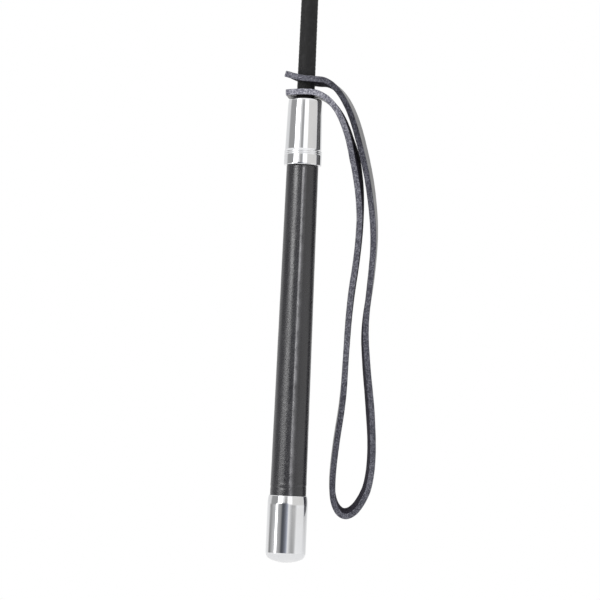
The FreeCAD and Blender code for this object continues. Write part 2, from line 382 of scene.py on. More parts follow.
def line(start, end, steps):
    return [
        (start[0] + (end[0] - start[0]) * i / steps, start[1] + (end[1] - start[1]) * i / steps)
        for i in range(1, steps + 1)
    ]


def outline(start, *pieces):
    """A profile in millimetres: pieces are (end, steps) lines or (middle, end, steps) arcs."""
    points = [start]
    for piece in pieces:
        if len(piece) == 2:
            points += line(points[-1], *piece)
        else:
            points += arc(points[-1], *piece)
    return points


def bulge(distance, height, width):
    """A smooth ridge, or a groove where the height is negative."""
    return height * math.exp(-(distance / width) ** 2)


def ripple(angle, height, around, along, size, seed=0.0):
    """Gentle unevenness over a turned surface: the larger around and along, the closer the waves."""
    place = Vector((math.cos(angle) * around, math.sin(angle) * around, height * along + seed))
    return noise.noise(place) * size


def lathe(name, profile, around, material, closed=True, shape=None):
    """Turns a (radius, height) profile about the axis; shape(angle, height) adds to the radius."""
    points = []
    for r, height in profile:
        for j in range(around):
            angle = 2 * math.pi * j / around
            reach = r + (shape(angle, height) if shape and r > 0 else 0.0)
            points.append((reach * MM * math.cos(angle), reach * MM * math.sin(angle), level(height)))
    rows = len(profile)
    faces = []
    for i in range(rows if closed else rows - 1):
        k = (i + 1) % rows
        for j in range(around):
            n = (j + 1) % around
            faces.append((i * around + j, i * around + n, k * around + n, k * around + j))
    thing = add_mesh(name, points, faces, [material])
    clean(thing)
    return thing


def tube(name, centres, radius, sides, material):
    """A round thread along a list of points, closed at both ends."""
    points = []
    faces = []
    count = len(centres)
    normal = None
    for i, centre in enumerate(centres):
        ahead = (centres[min(i + 1, count - 1)] - centres[max(i - 1, 0)]).normalized()
        if normal is None:
            normal = ahead.orthogonal().normalized()
        normal = (normal - ahead * normal.dot(ahead)).normalized()
        other = ahead.cross(normal)
        for j in range(sides):
            angle = 2 * math.pi * j / sides
            points.append(centre + (normal * math.cos(angle) + other * math.sin(angle)) * radius)
    for i in range(count - 1):
        for j in range(sides):
            n = (j + 1) % sides
            faces.append((i * sides + j, i * sides + n, (i + 1) * sides + n, (i + 1) * sides + j))
    faces.append(tuple(reversed(range(sides))))
    faces.append(tuple(range((count - 1) * sides, count * sides)))
    return add_mesh(name, points, faces, [material])


def smoothstep(value):
    """0 to 1, eased at both ends."""
    value = min(max(value, 0.0), 1.0)
    return value * value * (3 - 2 * value)


def finish_piece(piece, body, slot, *nodes):
    """Says which body a piece rides and hides the nodes that it stands for. The slot argument is not used."""
    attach(piece, body)
    if nodes:
        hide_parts(*nodes)


# ---------------------------------------------------------------------------------------------
# Materials
# ---------------------------------------------------------------------------------------------
def chrome_look(name, seed):
    """Polished plate: fine lengthwise and crossing scratches, faint smears and a slight waviness."""
    look = Look(name, (0.88, 0.885, 0.9), 0.05, metallic=1.0)
    smear = look.noise(150.0, 4.0, look.stretched((1.0, 1.0, 0.35)))
    scratch = look.noise(2600.0, 2.0, look.stretched((1.0, 1.0 + 0.1 * seed, 0.04)))
    look.drive(look.ramp(look.maths("ADD", smear, look.maths("MULTIPLY", scratch, 0.25)),
                         (0.45, 0.035), (0.62, 0.06), (0.85, 0.13)), "Roughness")
    tint = look.ramp(smear, (0.3, (0.86, 0.87, 0.89)), (0.7, (0.92, 0.92, 0.93)))
    look.drive(tint, "Base Color")
    look.bump(look.noise(60.0, 1.0), 0.25, 0.0002)
    look.bump(scratch, 0.05, 0.00002)
    return look.material


def leather_grain(look, scale, depth, strength=0.6):
    """Pebbled grain: two sizes of cell, creased together, with pores."""
    warp = look.noise(scale * 0.35, 2.0)
    coarse = look.creases(scale)
    fine = look.creases(scale * 2.3)
    pebble = look.maths("ADD", look.ramp(coarse, (0.0, 0.0), (0.16, 1.0)),
                        look.maths("MULTIPLY", look.ramp(fine, (0.0, 0.0), (0.2, 1.0)), 0.5))
    pebble = look.maths("ADD", pebble, look.maths("MULTIPLY", warp, 0.6))
    look.bump(pebble, strength, depth)
    return pebble


def grip_leather_look():
    """Finished black leather: pebbled, lightly polished by the hand, purple-grey where it is worn, with a
    painted highlight along the seam ridge.
    """
    look = Look("grip_leather", (0.018, 0.018, 0.02), 0.32, specular=0.85)
    grain = leather_grain(look, 1150.0, 0.00003, 0.3)
    patches = look.noise(90.0, 4.0, look.stretched((1.0, 1.0, 0.4)))
    tone = look.ramp(patches, (0.3, (0.007, 0.0067, 0.0085)), (0.7, (0.013, 0.0125, 0.016)))
    worn = look.mix(look.ramp(grain, (0.5, 0.0), (1.6, 0.3)), tone, (0.04, 0.039, 0.047))
    # Painted highlight: pale grey mixed into the colour along the seam ridge, standing in for the key light's
    # glint on it
    painted_seam_highlight = look.mix(look.attribute("painted_seam_highlight"), worn, (0.2, 0.198, 0.21))
    look.drive(painted_seam_highlight, "Base Color")
    speck = look.noise(1500.0, 4.0, roughness=0.7)
    gloss = look.maths("ADD", look.maths("MULTIPLY", patches, 0.4), look.maths("MULTIPLY", speck, 0.6))
    look.drive(look.ramp(gloss, (0.4, 0.18), (0.5, 0.26), (0.6, 0.4)), "Roughness")
    look.set("Coat Weight", 0.12)
    look.set("Coat Roughness", 0.2)
    return look.material


def strap_grain_look():
    """The strap's outer face: smooth finished grain with fine creases, and painted shade on it under the
    lower eye.
    """
    look = Look("strap_grain", (0.05, 0.05, 0.055), 0.3, specular=1.0)
    leather_grain(look, 1300.0, 0.00001, 0.3)
    patches = look.noise(120.0, 4.0)
    grain = look.ramp(patches, (0.3, (0.05, 0.05, 0.052)), (0.7, (0.075, 0.075, 0.077)))
    # Painted shade: where the pale values are high, at the lower eye, the grain face's colour is darkened as
    # if in shadow
    under = look.ramp(look.attribute("pale"), (0.55, 0.0), (0.9, 1.0))
    look.drive(look.mix(under, grain, (0.008, 0.0075, 0.009)), "Base Color")
    look.drive(look.ramp(patches, (0.3, 0.27), (0.7, 0.36)), "Roughness")
    return look.material


def strap_flesh_look():
    """The strap's inner face: dark, matt, fibrous."""
    look = Look("strap_flesh", (0.006, 0.0045, 0.009), 0.9, specular=0.12)
    nap = look.noise(900.0, 5.0, roughness=0.7)
    look.drive(look.ramp(nap, (0.35, (0.01, 0.009, 0.015)), (0.65, (0.036, 0.032, 0.048))), "Base Color")
    look.bump(nap, 0.8, 0.00015)
    return look.material


def strap_edge_look():
    """The cut edge: blue-grey suede fibre, paler towards the lower end of the strip."""
    look = Look("strap_edge", (0.08, 0.08, 0.1), 0.9, specular=0.2)
    fibre = look.noise(1500.0, 4.0, roughness=0.7)
    clump = look.noise(380.0, 3.0)
    streak = look.maths("ADD", look.maths("MULTIPLY", fibre, 0.8), look.maths("MULTIPLY", clump, 0.2))
    hollow, middle, crest = 0.42, 0.5, 0.6
    dark = look.ramp(streak, (hollow, (0.014, 0.014, 0.02)), (middle, (0.034, 0.034, 0.048)),
                     (crest, (0.1, 0.102, 0.13)))
    light = look.ramp(streak, (hollow, (0.15, 0.15, 0.19)), (middle, (0.3, 0.3, 0.36)),
                      (crest, (0.66, 0.66, 0.72)))
    look.drive(look.mix(look.attribute("pale"), dark, light), "Base Color")
    look.bump(fibre, 0.9, 0.0003)
    look.set("Sheen Weight", 0.3)
    look.set("Sheen Roughness", 0.5)
    return look.material


def keeper_look():
    look = Look("keeper_leather", (0.03, 0.03, 0.032), 0.5, specular=0.45)
    leather_grain(look, 900.0, 0.00008)
    patches = look.noise(70.0, 5.0)
    look.drive(look.ramp(patches, (0.3, (0.02, 0.02, 0.022)), (0.7, (0.038, 0.037, 0.04))), "Base Color")
    look.drive(look.ramp(patches, (0.3, 0.42), (0.7, 0.6)), "Roughness")
    return look.material


def braid_look():
    look = Look("shaft_braid", (0.01, 0.01, 0.0105), 0.62, specular=0.22)
    thread = look.noise(2400.0, 3.0, look.stretched((1.0, 1.0, 0.12)))
    dust = look.noise(400.0, 5.0)
    tone = look.mix(look.ramp(dust, (0.45, 0.0), (0.75, 0.6)), (0.018, 0.018, 0.0185), (0.033, 0.033, 0.034))
    look.drive(tone, "Base Color")
    look.bump(thread, 0.6, 0.0001)
    look.drive(look.ramp(thread, (0.3, 0.5), (0.7, 0.72)), "Roughness")
    return look.material


def thread_look(name, colour):
    look = Look(name, colour, 0.5, specular=0.4)
    ply = look.noise(3200.0, 3.0, look.stretched((0.6, 1.0, 2.2)))
    darker = tuple(c * 0.6 for c in colour)
    lighter = tuple(min(c * 1.5, 1.0) for c in colour)
    look.drive(look.ramp(ply, (0.3, darker), (0.7, lighter)), "Base Color")
    look.bump(ply, 0.5, 0.00008)
    return look.material


def moulded_look():
    look = Look("former", (0.06, 0.06, 0.06), 0.6)
    speck = look.noise(700.0, 4.0)
    look.drive(look.ramp(speck, (0.3, (0.05, 0.05, 0.05)), (0.7, (0.075, 0.075, 0.074))), "Base Color")
    look.bump(speck, 0.4, 0.00005)
    return look.material


def glass_fibre_look():
    look = Look("rod", (0.75, 0.74, 0.66), 0.35)
    strands = look.noise(1800.0, 3.0, look.stretched((1.0, 1.0, 0.02)))
    look.drive(look.ramp(strands, (0.3, (0.66, 0.64, 0.54)), (0.7, (0.8, 0.79, 0.71))), "Base Color")
    look.bump(strands, 0.3, 0.00003)
    return look.material


def floor_look():
    look = Look("floor", (0.86, 0.86, 0.855), 0.7, specular=0.2)
    look.drive(look.ramp(look.noise(8.0), (0.3, 0.84), (0.7, 0.87)), "Base Color")
    return look.material


# ---------------------------------------------------------------------------------------------
# Wrist strap
# ---------------------------------------------------------------------------------------------
# The strip's route in metres: (from the axis, behind the crop's plane, height above the butt end).
# The loop hangs a little behind that plane.
STRAP_ROUTE = [
    (-0.0094, 0.0000, 0.2346),
    (-0.0027, 0.0000, 0.2323),
    (0.0045, 0.0000, 0.2316),
    (0.0114, 0.0000, 0.2312),
    (0.0181, 0.0000, 0.2256),
    (0.0242, 0.0000, 0.2144),
    (0.0304, 0.0000, 0.1937),
    (0.0338, 0.0008, 0.1784),
    (0.0364, 0.0022, 0.1583),
    (0.0354, 0.0042, 0.1360),
    (0.0331, 0.0062, 0.1144),
    (0.0350, 0.0078, 0.0948),
    (0.0377, 0.0088, 0.0756),
    (0.0396, 0.0090, 0.0544),
    (0.0386, 0.0090, 0.0392),
    (0.0356, 0.0090, 0.0312),
    (0.0316, 0.0090, 0.0255),
    (0.0272, 0.0090, 0.0237),
    (0.0236, 0.0090, 0.0264),
    (0.0213, 0.0090, 0.0322),
    (0.0208, 0.0090, 0.0417),
    (0.0219, 0.0090, 0.0577),
    (0.0245, 0.0086, 0.0788),
    (0.0249, 0.0074, 0.0999),
    (0.0257, 0.0052, 0.1260),
    (0.0284, 0.0030, 0.1491),
    (0.0291, 0.0013, 0.1703),
    (0.0264, 0.0003, 0.1904),
    (0.0217, 0.0000, 0.2064),
    (0.0162, 0.0000, 0.2182),
    (0.0084, 0.0000, 0.2251),
    (-0.0004, 0.0000, 0.2256),
    (-0.0090, 0.0000, 0.2247),
]
STRAP_WIDTH = 0.010
STRAP_WALL = 0.0029
STRAP_COLUMNS = 12
STRAP_STEP = 0.0009
STRAP_EASE = 0.00035
EDGE_SLOT = 2
# Only above this height can the strip be at the shaft
EYES_ABOVE = 0.2
EYE_LENGTH = 0.011
EYE_HALF_WIDTH = 0.0080
SLIT_LENGTH = 0.0072
SLIT_HALF_WIDTH = 0.00475
END_SKEW = 0.12
END_SKEW_LENGTH = 0.003
# Unevenness as (closeness, size): where the edges were cut, their fibre, and the faces
TRIM = (420.0, 0.00012)
EDGE_FIBRE = ((1700.0, 0.00007), (600.0, 0.00006))
FACE_UNEVEN = (260.0, 0.00003)
FIBRE_COUNT = 2600
FIBRE_LENGTHS = (0.0002, 0.00055)
FIBRE_R = 0.000035
FIBRE_LEAN = 0.9
BOTTOM_SHARES = (0.44, 0.56)
# How the strip's width turns about the upright, as (height, degrees), on the outer and inner strands
OUTER_TWIST = [
    (0.020, 5.0), (0.050, 6.0), (0.075, 8.5), (0.110, 3.5), (0.122, 0.0), (0.137, -4.0), (0.150, -5.0),
    (0.175, -11.0), (0.205, -15.0),
]
INNER_TWIST = [
    (0.020, 0.5), (0.080, 0.5), (0.110, -2.0), (0.130, -3.5), (0.150, -3.5), (0.166, -5.0), (0.175, -9.0),
    (0.185, -14.0), (0.195, -18.0), (0.205, -11.0), (0.215, -9.0), (0.225, -5.0),
]
# How the strip's width leans: its front edge drops as (share of the length, degrees)
LEAN = [
    (0.0, 3.0), (0.02, 0.0), (0.045, -4.0), (0.075, 0.0), (0.3, 0.0), (0.43, 14.5), (0.56, 14.5), (0.7, 0.0),
    (0.9, 0.0), (0.96, 1.0), (1.0, 0.0),
]
# How pale the cut edge is, as (share of the strip's length, 0 dark to 1 pale); near the lower end the high
# values also darken the grain face as painted shade under the eye
EDGE_PALENESS_AND_SHADE = [
    (0.0, 0.5), (0.03, 0.28), (0.05, 0.1), (0.08, 0.0), (0.12, 0.06), (0.2, 0.2), (0.3, 0.22), (0.38, 0.16),
    (0.42, 0.16), (0.46, 0.26), (0.51, 0.2), (0.55, 0.14), (0.62, 0.14), (0.7, 0.3), (0.8, 0.36), (0.9, 0.44),
    (0.94, 0.6), (0.965, 0.95), (0.985, 1.0), (0.995, 0.85), (1.0, 0.6),
]


def between(value, low, high):
    """0 to 1, eased, as the value goes from low to high."""
    return smoothstep((value - low) / (high - low))


def follow(table, value):
    """The value of a table of (place, value) pairs, straight between its places."""
    for (low, first), (high, second) in zip(table, table[1:]):
        if value <= high:
            return first + (second - first) * max(value - low, 0.0) / (high - low)
    return table[-1][1]


def strap_turn(share, height):
    """The strip's twist about the upright and the lean of its width, some way along it."""
    outer = follow(OUTER_TWIST, height)
    inner = follow(INNER_TWIST, height)
    twist = outer + (inner - outer) * between(share, *BOTTOM_SHARES)
    return math.radians(twist), math.radians(follow(LEAN, share))


def route_line():
    """The smooth line of the strip, read from its NURBS spline."""
    data = bpy.data.curves.new("strap_line", "CURVE")
    data.dimensions = "3D"
    data.resolution_u = 24
    spline = data.splines.new("NURBS")
    spline.points.add(len(STRAP_ROUTE) - 1)
    for knot, (x, y, height) in zip(spline.points, STRAP_ROUTE):
        knot.co = (x, y, BUTT_Z + height, 1.0)
    spline.order_u = 3
    spline.use_endpoint_u = True
    holder = bpy.data.objects.new("strap_line", data)
    bpy.context.collection.objects.link(holder)
    bpy.context.view_layer.update()
    mesh = bpy.data.meshes.new_from_object(holder.evaluated_get(bpy.context.evaluated_depsgraph_get()))
    points = [vertex.co.copy() for vertex in mesh.vertices]
    bpy.data.objects.remove(holder)
    bpy.data.meshes.remove(mesh)
    return points


def resample(points, step):
    """Evenly spaced points along a polyline."""
    marks = [0.0]
    for a, b in zip(points, points[1:]):
        marks.append(marks[-1] + (b - a).length)
    count = round(marks[-1] / step)
    even = []
    k = 0
    for i in range(count + 1):
        wanted = marks[-1] * i / count
        while k < len(marks) - 2 and marks[k + 1] < wanted:
            k += 1
        share = (wanted - marks[k]) / (marks[k + 1] - marks[k])
        even.append(points[k].lerp(points[k + 1], share))
    return even


def width_direction(centres, i):
    """Direction of the strip's width at one place on it."""
    last = len(centres) - 1
    ahead = (centres[min(i + 1, last)] - centres[max(i - 1, 0)]).normalized()
    twist, lean = strap_turn(i / last, centres[i].z - BUTT_Z)
    width = Vector((-math.sin(twist) * math.cos(lean), math.cos(twist) * math.cos(lean), math.sin(lean)))
    return (width - ahead * width.dot(ahead)).normalized()


def end_skew(centres, i):
    """Each end of the strip is cut a little askew, longer at the front."""
    inwards = Vector((END_SKEW, 0.0, 0.0))
    return inwards * max(1 - (centres[i].x - centres[0].x) / END_SKEW_LENGTH, 0.0)


def at_shaft(place):
    """Whether a place on the strip is in one of the two eyes that the shaft runs through."""
    return abs(place.x) < EYE_LENGTH and place.z - BUTT_Z > EYES_ABOVE


def eye_reach(x, in_eye):
    """Half the slit and half the strip's width at a distance from the axis."""
    if not in_eye:
        return 0.0, STRAP_WIDTH / 2
    slit = max(0.0, 1 - (x / SLIT_LENGTH) ** 2) * SLIT_HALF_WIDTH
    swell = max(0.0, 1 - (x / EYE_LENGTH) ** 2)
    return slit, STRAP_WIDTH / 2 + (EYE_HALF_WIDTH - STRAP_WIDTH / 2) * swell


def make_strap():
    """One strip: a middle sheet with two slits, thickened, its edges eased and its faces roughened."""
    line_points = route_line()
    centres = resample(line_points, STRAP_STEP)
    half = STRAP_COLUMNS // 2
    points = []
    for i, centre in enumerate(centres):
        width = width_direction(centres, i)
        slit, reach = eye_reach(centre.x, at_shaft(centre))
        skew = end_skew(centres, i)
        front_trim = noise.noise(centre * TRIM[0]) * TRIM[1]
        back_trim = noise.noise(centre * TRIM[0] + Vector((5, 5, 5))) * TRIM[1]
        for j in range(half + 1):
            across = -reach + (reach - slit) * j / half - (front_trim if j == 0 else 0.0)
            points.append(centre + width * across + skew * across)
        for j in range(half + 1):
            across = slit + (reach - slit) * j / half + (back_trim if j == half else 0.0)
            points.append(centre + width * across + skew * across)
    row = 2 * (half + 1)
    faces = []
    for i in range(len(centres) - 1):
        for j in list(range(half)) + list(range(half + 1, row - 1)):
            faces.append((i * row + j, i * row + j + 1, (i + 1) * row + j + 1, (i + 1) * row + j))
    looks = [strap_flesh_look(), strap_grain_look(), strap_edge_look()]
    strap = add_mesh("wrist_strap_leather", points, faces, looks)
    # The pale attribute holds the cut edge's paleness, and near the lower end also the mask of the painted
    # shade on the grain face
    pale = strap.data.attributes.new("pale", "FLOAT", "POINT")
    last = len(centres) - 1
    pale.data.foreach_set("value", [follow(EDGE_PALENESS_AND_SHADE, i // row / last) for i in range(len(points))])
    work = bmesh.new()
    work.from_mesh(strap.data)
    bmesh.ops.remove_doubles(work, verts=work.verts, dist=WELD)
    work.to_mesh(strap.data)
    work.free()
    thick = thicken(strap, STRAP_WALL)
    thick.material_offset = 1
    thick.material_offset_rim = EDGE_SLOT
    ease_edges(strap, STRAP_EASE, 2)
    finer = strap.modifiers.new("finer", "SUBSURF")
    finer.subdivision_type = "SIMPLE"
    finer.levels = 1
    finer.render_levels = 1
    bake(strap)
    roughen_strap(strap)
    add_fibres(strap)
    finish_piece(strap, "wrist_loop", "strap_leather", "wrist_strap")


def roughen_strap(strap):
    """Breaks up the cut edges with fibre and gives the faces a slight hand-cut unevenness."""
    mesh = strap.data
    edge_points = set()
    for polygon in mesh.polygons:
        if polygon.material_index == EDGE_SLOT:
            edge_points.update(polygon.vertices)

    def rough(place, index):
        waves = EDGE_FIBRE if index in edge_points else (FACE_UNEVEN,)
        return sum(noise.noise(place * closeness) * size for closeness, size in waves)

    push_out(mesh, rough)


def add_fibres(strap):
    """Short loose fibres along the strip's cut edges."""
    mesh = strap.data
    rims = [polygon for polygon in mesh.polygons if polygon.material_index == EDGE_SLOT]
    points = [vertex.co.copy() for vertex in mesh.vertices]
    faces = [tuple(polygon.vertices) for polygon in mesh.polygons]
    kinds = [polygon.material_index for polygon in mesh.polygons]
    pale = [item.value for item in mesh.attributes["pale"].data]
    for polygon in RANDOM.sample(rims, min(len(rims), FIBRE_COUNT)):
        root = polygon.center
        out = polygon.normal
        if at_shaft(root):
            continue
        lean = Vector((RANDOM.uniform(-1, 1), RANDOM.uniform(-0.4, 0.4), RANDOM.uniform(-1, 1))) * FIBRE_LEAN
        tip = root + (out + lean).normalized() * RANDOM.uniform(*FIBRE_LENGTHS)
        side = out.cross(lean).normalized() * FIBRE_R
        other = out.cross(side).normalized() * FIBRE_R
        start = len(points)
        points += [root + side, root - side * 0.5 + other, root - side * 0.5 - other, tip]
        for a, b in ((0, 1), (1, 2), (2, 0)):
            faces.append((start + a, start + b, start + 3))
        kinds += [EDGE_SLOT] * 3
        pale += [pale[polygon.vertices[0]]] * 4
    fresh = bpy.data.meshes.new("wrist_strap_leather")
    fresh.from_pydata(points, [], faces)
    for material in mesh.materials:
        fresh.materials.append(material)
    fresh.polygons.foreach_set("material_index", kinds)
    fresh.polygons.foreach_set("use_smooth", [True] * len(fresh.polygons))
    fresh.attributes.new("pale", "FLOAT", "POINT").data.foreach_set("value", pale)
    fresh.update()
    strap.data = fresh


# ---------------------------------------------------------------------------------------------
# Metal fittings
# ---------------------------------------------------------------------------------------------
CAP_R = 9.6
CAP_TOP = 32.0
CAP_BORE_R = 8.7
FERRULE_LOW = 190.3
FERRULE_HIGH = 222.5
FERRULE_BAND_R = 9.0
FERRULE_BORE_R = 7.62
FERRULE_EYE_R = 4.335
CHROME_AROUND = 224
DENT_AROUND = 1.4
DENT_ALONG = 0.05
DENT_SIZE = 0.012


def dent(seed):
    """A barely visible waviness in polished metal."""
    return lambda angle, height: ripple(angle, height, DENT_AROUND, DENT_ALONG, DENT_SIZE, seed)


def make_butt_cap():
    """A cup: low domed end, straight side, rim turned in a little, then the bore back down."""
    profile = outline(
        (0.0, 0.0),
        ((3.73, 0.364), (6.9, 1.3), 14),
        ((8.85, 2.71), (CAP_R, 5.0), 12),
        ((CAP_R, 27.0), 24),
        ((9.5, 29.6), (9.2, 31.55), 10),
        ((9.12, 31.87), (8.85, CAP_TOP), 5),
        ((8.78, 31.9), (CAP_BORE_R, 31.7), 3),
        ((CAP_BORE_R, 6.0), 10),
        ((7.95, 4.0), (6.9, 3.1), 4),
        ((0.0, 1.5), 6),
    )
    cap = lathe("butt_cap_shell", profile, CHROME_AROUND, chrome_look("cap_chrome", 1), closed=False,
                shape=dent(3.0))
    finish_piece(cap, "crop", "cap_metal", "butt_cap")


def make_ferrule():
    """A collar: band, two beads, long taper, then the hole for the shaft and the bore."""
    profile = outline(
        (FERRULE_BORE_R, FERRULE_LOW + 0.5),
        ((7.68, FERRULE_LOW + 0.1), (7.95, FERRULE_LOW), 4),
        ((8.6, FERRULE_LOW), 3),
        ((8.88, FERRULE_LOW + 0.12), (FERRULE_BAND_R, FERRULE_LOW + 0.4), 5),
        ((FERRULE_BAND_R, 195.3), 8),
        ((8.96, 195.48), (8.82, 195.62), 3),
        ((9.06, 196.08), (8.8, 196.5), 10),
        ((9.02, 196.98), (8.73, 197.5), 10),
        ((8.26, 216.5), 22),
        ((8.17, 219.3), (8.0, 221.7), 10),
        ((7.76, 222.22), (7.25, FERRULE_HIGH), 8),
        ((5.1, FERRULE_HIGH), 3),
        ((4.6, FERRULE_HIGH - 0.12), (FERRULE_EYE_R, FERRULE_HIGH - 0.5), 4),
        ((FERRULE_EYE_R, 221.0), 2),
        ((FERRULE_BORE_R, 221.0), 4),
    )
    ferrule = lathe("ferrule_collar", profile, CHROME_AROUND, chrome_look("ferrule_chrome", 2),
                    shape=dent(8.0))
    finish_piece(ferrule, "crop", "ferrule_metal", "ferrule")


# ---------------------------------------------------------------------------------------------
# Grip leather
# ---------------------------------------------------------------------------------------------
GRIP_LOW = 32.0
GRIP_HIGH = 190.8
GRIP_LOW_R = 8.65
GRIP_HIGH_R = 7.62
SEAM_AZIMUTH = math.radians(7.0 - 90.0)
SEAM_R = 8.0
SEAM_WANDER = 0.02
RIDGE_HEIGHT = 0.42
RIDGE_WIDTH = 0.5
LAP_HEIGHT = 0.12
GROOVE_DEPTH = 0.05
GROOVE_WIDTH = 0.3
GROOVE_OFFSET = 0.95
RING_HEIGHT = 36.2
RING_TILT = 0.5
RING_DEPTH = 0.11
RING_WIDTH = 0.35
# Width of the painted highlight band along the seam, in millimetres
PAINTED_SEAM_HIGHLIGHT_WIDTH = 0.75
SKIN_LOW = 31.2
SKIN_HIGH = GRIP_HIGH - 0.9
GRIP_AROUND = 288
GRIP_ROWS = 330


def seam_distance(angle, height):
    """Distance round the grip from the seam, which wanders a little, in millimetres."""
    wander = noise.noise(Vector((0.0, 0.0, height * 0.03))) * SEAM_WANDER
    off = (angle - SEAM_AZIMUTH - wander + math.pi) % (2 * math.pi) - math.pi
    return off * SEAM_R


def grip_relief(angle, height):
    """Lapped seam, hand wear and the pressed ring above the cap, in millimetres."""
    across = seam_distance(angle, height)
    ridge = bulge(across, RIDGE_HEIGHT, RIDGE_WIDTH)
    lap = LAP_HEIGHT * smoothstep((across + 2.4) / 2.2) * (1 - smoothstep((across - 0.1) / 0.7))
    groove = bulge(across - GROOVE_OFFSET, -GROOVE_DEPTH, GROOVE_WIDTH)
    fade = smoothstep((height - GRIP_LOW) / 10.0) * 0.5 + 0.5
    uneven = ripple(angle, height, 2.2, 0.12, 0.035)
    fine = ripple(angle, height, 11.0, 1.3, 0.014)
    ring_height = RING_HEIGHT + RING_TILT * math.sin(angle + 0.8)
    ring = bulge(height - ring_height, -RING_DEPTH, RING_WIDTH)
    swell = bulge(height - ring_height - 1.3, 0.05, 0.7)
    return (ridge + lap + groove) * fade + uneven + fine + ring + swell


def make_grip():
    """The skin runs under both metal fittings, where it is thinner."""
    profile = [(7.5, 24.0), (8.1, 24.0), (8.1, 30.5), (8.4, 30.8)]
    for i in range(GRIP_ROWS + 1):
        height = SKIN_LOW + (SKIN_HIGH - SKIN_LOW) * i / GRIP_ROWS
        share = (height - GRIP_LOW) / (GRIP_HIGH - GRIP_LOW)
        profile.append((GRIP_LOW_R + (GRIP_HIGH_R - GRIP_LOW_R) * share, height))
    profile += [(7.32, GRIP_HIGH - 0.4), (7.02, GRIP_HIGH), (7.02, 198.0), (6.37, 198.0)]

    def shape(angle, height):
        """No relief where the metal covers the leather."""
        open_low = smoothstep((height - 30.5) / 1.5)
        open_high = smoothstep((GRIP_HIGH - 0.5 - height) / 1.5)
        return grip_relief(angle, height) * open_low * open_high

    grip = lathe("grip_skin", profile, GRIP_AROUND, grip_leather_look(), shape=shape)
    # Painted highlight mask: a patchy band along the seam ridge that whitens the leather's colour where the
    # key light glints
    painted_seam_highlight = []
    for vertex in grip.data.vertices:
        place = vertex.co
        across = seam_distance(math.atan2(place.y, place.x), (place.z - BUTT_Z) / MM)
        patchy = 0.75 + 0.6 * noise.noise(place * 350.0)
        painted_seam_highlight.append(min(bulge(across, 1.0, PAINTED_SEAM_HIGHLIGHT_WIDTH) * patchy, 1.0))
    grip.data.attributes.new("painted_seam_highlight", "FLOAT", "POINT").data.foreach_set("value", painted_seam_highlight)
    finish_piece(grip, "crop", "grip_leather", "grip_leather")


# ---------------------------------------------------------------------------------------------
# Braided shaft
# ---------------------------------------------------------------------------------------------
SHAFT_LOW = 205.0
SHAFT_HIGH = 632.0
BRAID_STRANDS = 12
BRAID_PITCH = 25.0
BRAID_DEPTH = 0.07
BRAID_SINK = 0.03
COVER_INSIDE = 0.6
SHAFT_AROUND = 96
SHAFT_STEP = 0.62
SHAFT_LOW_R = 4.398
SHAFT_HIGH_R = 2.28


def shaft_r(height):
    """Outer radius of the shaft's cover."""
    return SHAFT_LOW_R + (SHAFT_HIGH_R - SHAFT_LOW_R) * (height - SHAFT_LOW) / (SHAFT_HIGH - SHAFT_LOW)


def braid(angle, height):
    """Strands wind both ways and pass over and under each other."""
    turn = 2 * math.pi * height / BRAID_PITCH
    right = BRAID_STRANDS * (angle + turn) / 2
    left = BRAID_STRANDS * (angle - turn) / 2
    weave = math.cos(right) * math.cos(left)
    over = max(abs(math.cos(right)), abs(math.cos(left)))
    return BRAID_DEPTH * (over - 0.8) * 2.2 + 0.25 * BRAID_DEPTH * weave


def make_shaft():
    rows = round((SHAFT_HIGH - SHAFT_LOW) / SHAFT_STEP)
    profile = []
    for i in range(rows + 1):
        height = SHAFT_LOW + (SHAFT_HIGH - SHAFT_LOW) * i / rows
        profile.append((shaft_r(height) - BRAID_SINK, height))
    profile += [(shaft_r(end) - COVER_INSIDE, end) for end in (SHAFT_HIGH, SHAFT_LOW)]

    def shape(angle, height):
        return braid(angle, height) * smoothstep((height - SHAFT_LOW) / 2.0)

    cover = lathe("shaft_braid_cover", profile, SHAFT_AROUND, braid_look(), shape=shape)
    finish_piece(cover, "crop", "shaft_braid", "shaft_cover")


# ---------------------------------------------------------------------------------------------
# Keeper and whipping
# ---------------------------------------------------------------------------------------------
TAIL_LOW = 598.0
TAIL_GATHERED = 629.0
TAIL_FLAT = 650.0
KEEPER_TOP = 700.0
KEEPER_WIDTH = 22.0
LEATHER = 1.5
LAYER_GAP = 0.85
KEEPER_COLUMNS = 28
KEEPER_ROW = 0.9
KEEPER_EASE = 0.3
KEEPER_UNEVEN = 0.08
FOLD_STEPS = 10
WHIP_LOW = 600.4
WHIP_HIGH = 625.6
WHIP_THREAD = 0.52
WHIP_STEPS = 40
STITCH_LENGTH = 2.4
STITCH_PITCH = 3.3
STITCH_INSET = 2.2
STITCH_R = 0.27
STITCH_LOW = 653.0
STITCH_HIGH = KEEPER_TOP - 5.0
JUST_OFF = 0.02


def curl(half_angle_share):
    """Half the angle of an arc whose rise over half its length is the given share, by bisection."""
    low, high = 1e-4, math.pi / 2
    for _ in range(40):
        middle = (low + high) / 2
        if (1 - math.cos(middle)) / middle < half_angle_share:
            low = middle
        else:
            high = middle
    return low


def keeper_section(across, height, side):
    """A point of one leather layer: gathered round the rod below, flat above."""
    spread = smoothstep((height - TAIL_GATHERED) / (TAIL_FLAT - TAIL_GATHERED))
    round_r = shaft_r(min(height, SHAFT_HIGH)) + LEATHER / 2 + JUST_OFF
    width = math.pi * round_r * (1 - spread) + KEEPER_WIDTH * spread
    depth = round_r * (1 - spread) + LAYER_GAP * spread
    bend = curl(max(2 * (depth - LAYER_GAP * spread) / width, 2e-4))
    radius = width / (2 * bend)
    x = radius * math.sin(bend * across)
    y = depth - radius * (1 - math.cos(bend * across))
    return Vector((x * MM, side * y * MM, level(height)))


